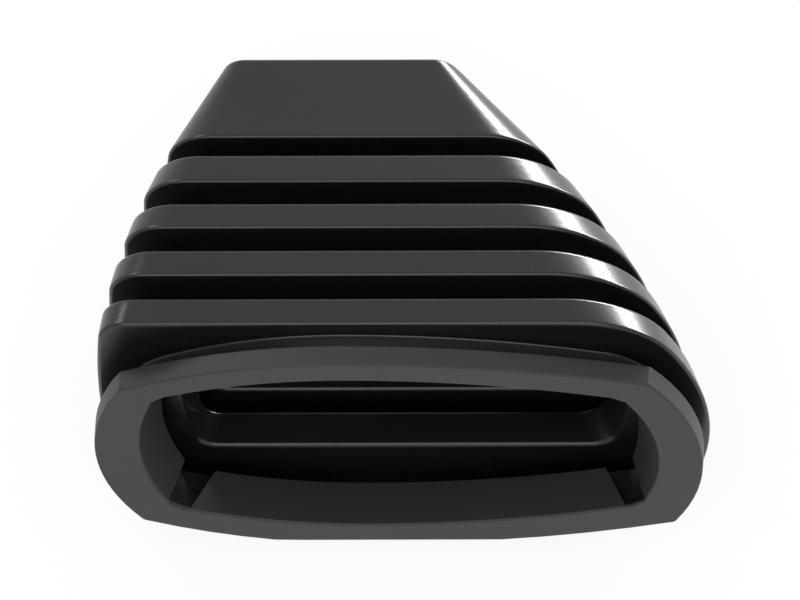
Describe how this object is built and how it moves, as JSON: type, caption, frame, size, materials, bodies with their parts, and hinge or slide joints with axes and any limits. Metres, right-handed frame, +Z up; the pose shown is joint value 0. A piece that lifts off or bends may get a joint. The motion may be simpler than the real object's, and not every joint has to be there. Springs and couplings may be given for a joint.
{
  "type": "rubber bellows boot",
  "caption": "Black rubber bellows boot with a thick bowed lip plate, a neck that seats in a panel, deep folding ribs and a tapered sleeve for a lever.",
  "frame": {"origin": "centre of the bounding box at floor level, with the boot lying on the broad side of its middle ribs", "axes": "+X along the long side of the lip, towards its longer end; +Y from the lip towards the sleeve; +Z up, across the broad sides"},
  "size_m": [0.123, 0.0856, 0.0733],
  "materials": {
    "rubber": "moulded black rubber, satin, slightly more matt on the lip"
  },
  "bodies": {
    "root": {"bellows_boot": "rubber"}
  },
  "joints": []
}
